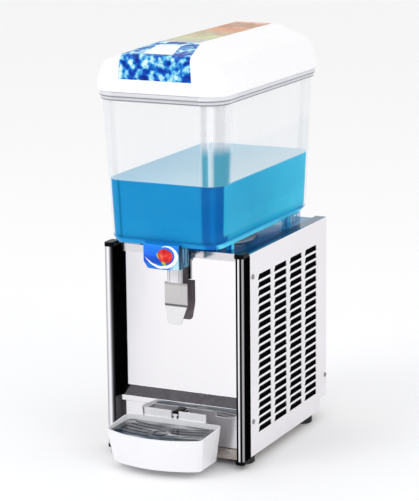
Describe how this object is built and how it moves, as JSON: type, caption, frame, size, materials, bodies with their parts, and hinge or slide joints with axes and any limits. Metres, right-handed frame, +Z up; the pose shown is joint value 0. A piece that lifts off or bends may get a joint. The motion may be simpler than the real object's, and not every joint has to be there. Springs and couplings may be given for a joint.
{
  "type": "beverage dispenser",
  "caption": "Countertop refrigerated drink dispenser: clear lidded bowl on a louvred steel cabinet, push-lever tap over a removable drip tray.",
  "frame": {"origin": "on the counter under the middle of the bounding box, at rest with the bowl, lid, tray and lever in place", "axes": "+Z up, +Y to the rear away from the tap, +X to the right of someone facing the tap"},
  "size_m": [0.2532, 0.4491, 0.686],
  "materials": {
    "painted_white": "satin",
    "post_chrome": "polished",
    "cap_plastic": "gloss",
    "black_rubber": "matte",
    "zinc_steel": "satin",
    "stainless": "polished",
    "galvanised": "satin",
    "black_enamel": "gloss",
    "black_plastic": "satin",
    "copper": "satin",
    "fin_aluminium": "satin",
    "motor_grey": "satin",
    "foam": "matte",
    "seal_rubber": "matte",
    "stirrer_plastic": "satin",
    "magnet": "matte",
    "clear_bowl": "gloss",
    "clear_clip": "gloss",
    "white_plastic": "gloss",
    "cover_plastic": "gloss",
    "grid_plastic": "satin",
    "spring_steel": "polished",
    "switch_green": "gloss",
    "switch_red": "gloss"
  },
  "bodies": {
    "cabinet": {"base_pan": "galvanised", "rubber_feet": "black_rubber", "foot_bolts": "zinc_steel", "side_panel_left": "painted_white", "side_panel_right": "painted_white", "side_panel_screws": "zinc_steel", "front_post_left": "post_chrome", "front_post_right": "post_chrome", "post_caps": "cap_plastic", "splash_panel": "stainless", "deck_plate": "stainless", "rear_uprights": "galvanised", "rear_panel": "painted_white", "rear_panel_screws": "zinc_steel", "compressor": "black_enamel", "compressor_grommets": "black_rubber", "compressor_studs": "zinc_steel", "compressor_terminal_cover": "black_plastic", "condenser_coil": "copper", "condenser_fins": "fin_aluminium", "condenser_end_plates": "galvanised", "fan_shroud": "galvanised", "fan_motor": "motor_grey", "fan_bracket": "zinc_steel", "evaporator_dome": "stainless", "evaporator_coil": "copper", "evaporator_foam": "foam", "bowl_seal": "seal_rubber", "agitator_motor": "motor_grey", "agitator_motor_bracket": "zinc_steel", "tray_clip": "black_plastic", "switch_bezels": "black_plastic", "thermostat": "galvanised", "cord_gland": "black_plastic", "junction_box": "black_plastic", "discharge_pipe": "copper", "filter_drier": "copper", "suction_pipe": "copper", "capillary_tube": "copper"},
    "fan": {"fan_blade": "black_plastic", "fan_shaft": "zinc_steel"},
    "drive": {"drive_magnet": "magnet", "drive_shaft": "zinc_steel"},
    "stirrer": {"stirrer": "stirrer_plastic"},
    "bowl": {"bowl": "clear_bowl", "bowl_side_clips": "clear_clip", "faucet_body": "white_plastic", "faucet_cover": "cover_plastic", "valve_spring": "spring_steel", "lever_pin": "stainless"},
    "lid": {"lid": "white_plastic"},
    "plunger": {"valve_plunger": "white_plastic"},
    "lever": {"lever_arm": "white_plastic", "dispensing_lever": "stainless", "lever_screw": "zinc_steel"},
    "tray": {"drip_tray": "white_plastic"},
    "grid": {"drip_grid": "grid_plastic"},
    "cooling_rocker": {"cooling_switch": "switch_green"},
    "stirring_rocker": {"stirring_switch": "switch_red"},
    "knob": {"thermostat_knob": "black_plastic"}
  },
  "joints": [
    {"name": "bowl_lift", "type": "slide", "parent": "cabinet", "child": "bowl", "axis": [0, 0, 1], "range_m": [0, 0.115]},
    {"name": "lid_lift", "type": "slide", "parent": "bowl", "child": "lid", "axis": [0, 0, 1], "range_m": [0, 0.2]},
    {"name": "lever_swing", "type": "hinge", "parent": "bowl", "child": "lever", "pos_m": [0, -0.116, 0.342], "axis": [1, 0, 0], "range_deg": [0, 9], "stiffness_Nm_per_rad": 0.5, "springref_deg": -11.46},
    {"name": "plunger_slide", "type": "slide", "parent": "bowl", "child": "plunger", "axis": [0, -1, 0], "range_m": [0, 0.0019], "deforming": ["valve_spring"]},
    {"name": "tray_pull", "type": "slide", "parent": "cabinet", "child": "tray", "axis": [0, -1, 0], "range_m": [0, 0.1]},
    {"name": "grid_lift", "type": "slide", "parent": "tray", "child": "grid", "axis": [0, 0, 1], "range_m": [0, 0.06]},
    {"name": "drive_spin", "type": "hinge", "parent": "cabinet", "child": "drive", "pos_m": [0, 0.016, 0.36], "axis": [0, 0, 1], "continuous": true},
    {"name": "stirrer_spin", "type": "hinge", "parent": "cabinet", "child": "stirrer", "pos_m": [0, 0.016, 0.447], "axis": [0, 0, 1], "continuous": true},
    {"name": "fan_spin", "type": "hinge", "parent": "cabinet", "child": "fan", "pos_m": [0, -0.026, 0.132], "axis": [0, 1, 0], "continuous": true},
    {"name": "cooling_rock", "type": "hinge", "parent": "cabinet", "child": "cooling_rocker", "pos_m": [0.078, 0.2068, 0.096], "axis": [1, 0, 0], "range_deg": [-16, 0]},
    {"name": "stirring_rock", "type": "hinge", "parent": "cabinet", "child": "stirring_rocker", "pos_m": [0.044, 0.2068, 0.096], "axis": [1, 0, 0], "range_deg": [-16, 0]},
    {"name": "thermostat_turn", "type": "hinge", "parent": "cabinet", "child": "knob", "pos_m": [-0.032, 0.2068, 0.096], "axis": [0, 1, 0], "range_deg": [0, 270]}
  ],
  "couplings": [
    {"joint": "stirrer_spin", "follows": "drive_spin", "ratio": 1},
    {"joint": "plunger_slide", "follows": "lever_swing", "m_per_rad": 0.012}
  ]
}
